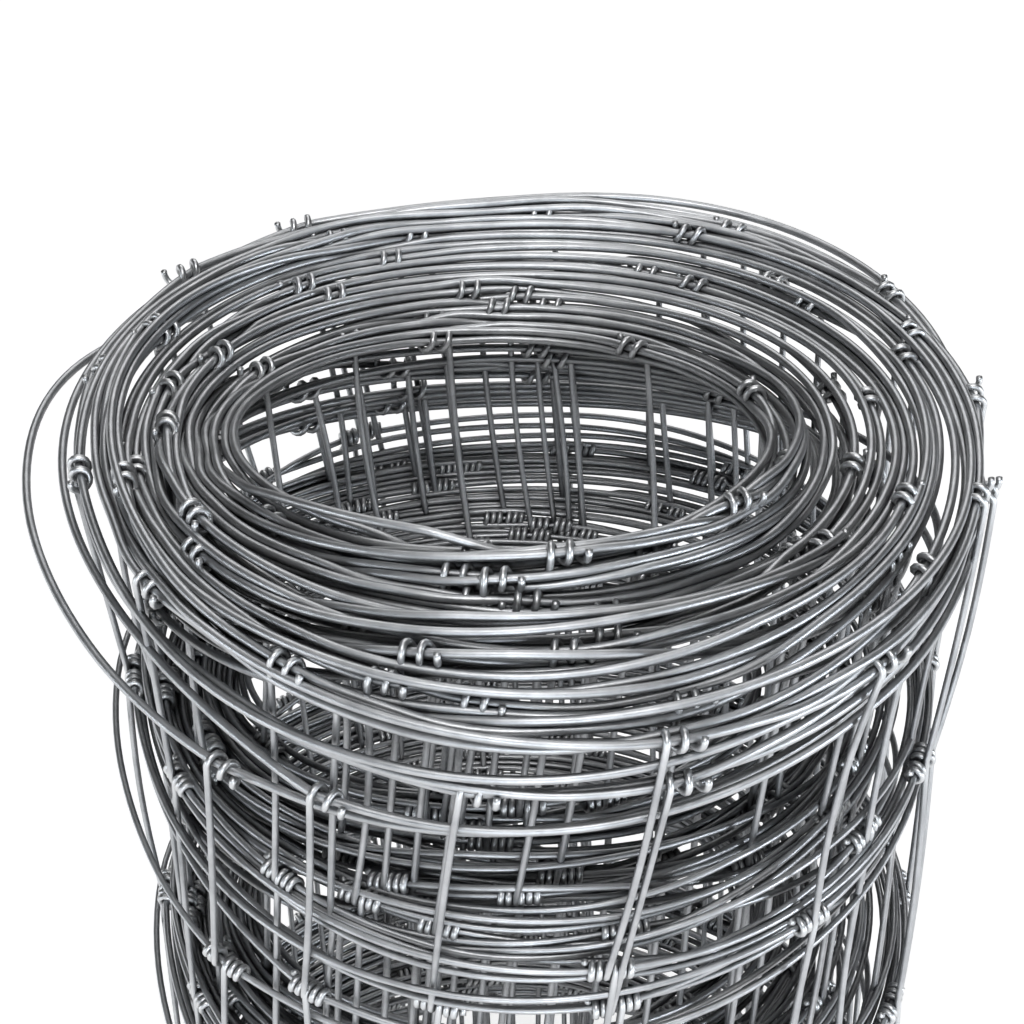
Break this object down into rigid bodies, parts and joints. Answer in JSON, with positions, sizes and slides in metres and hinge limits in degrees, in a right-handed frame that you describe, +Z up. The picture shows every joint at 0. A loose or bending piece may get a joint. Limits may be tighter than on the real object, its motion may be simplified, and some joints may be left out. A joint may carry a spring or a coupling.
{
  "type": "roll of wire fencing",
  "caption": "Upright roll of galvanised hinge-joint field fence: knotted wire mesh wound lap on lap round an open bore, standing on its end.",
  "frame": {"origin": "centre of the end that the roll stands on", "axes": "+Z up the roll's axis, towards the close-meshed edge of the fence"},
  "size_m": [0.3, 0.3, 0.8226],
  "materials": {
    "galvanised_wire": "satin grey zinc coat on drawn steel wire"
  },
  "bodies": {
    "root": {"fence_roll": "galvanised_wire"}
  },
  "joints": []
}
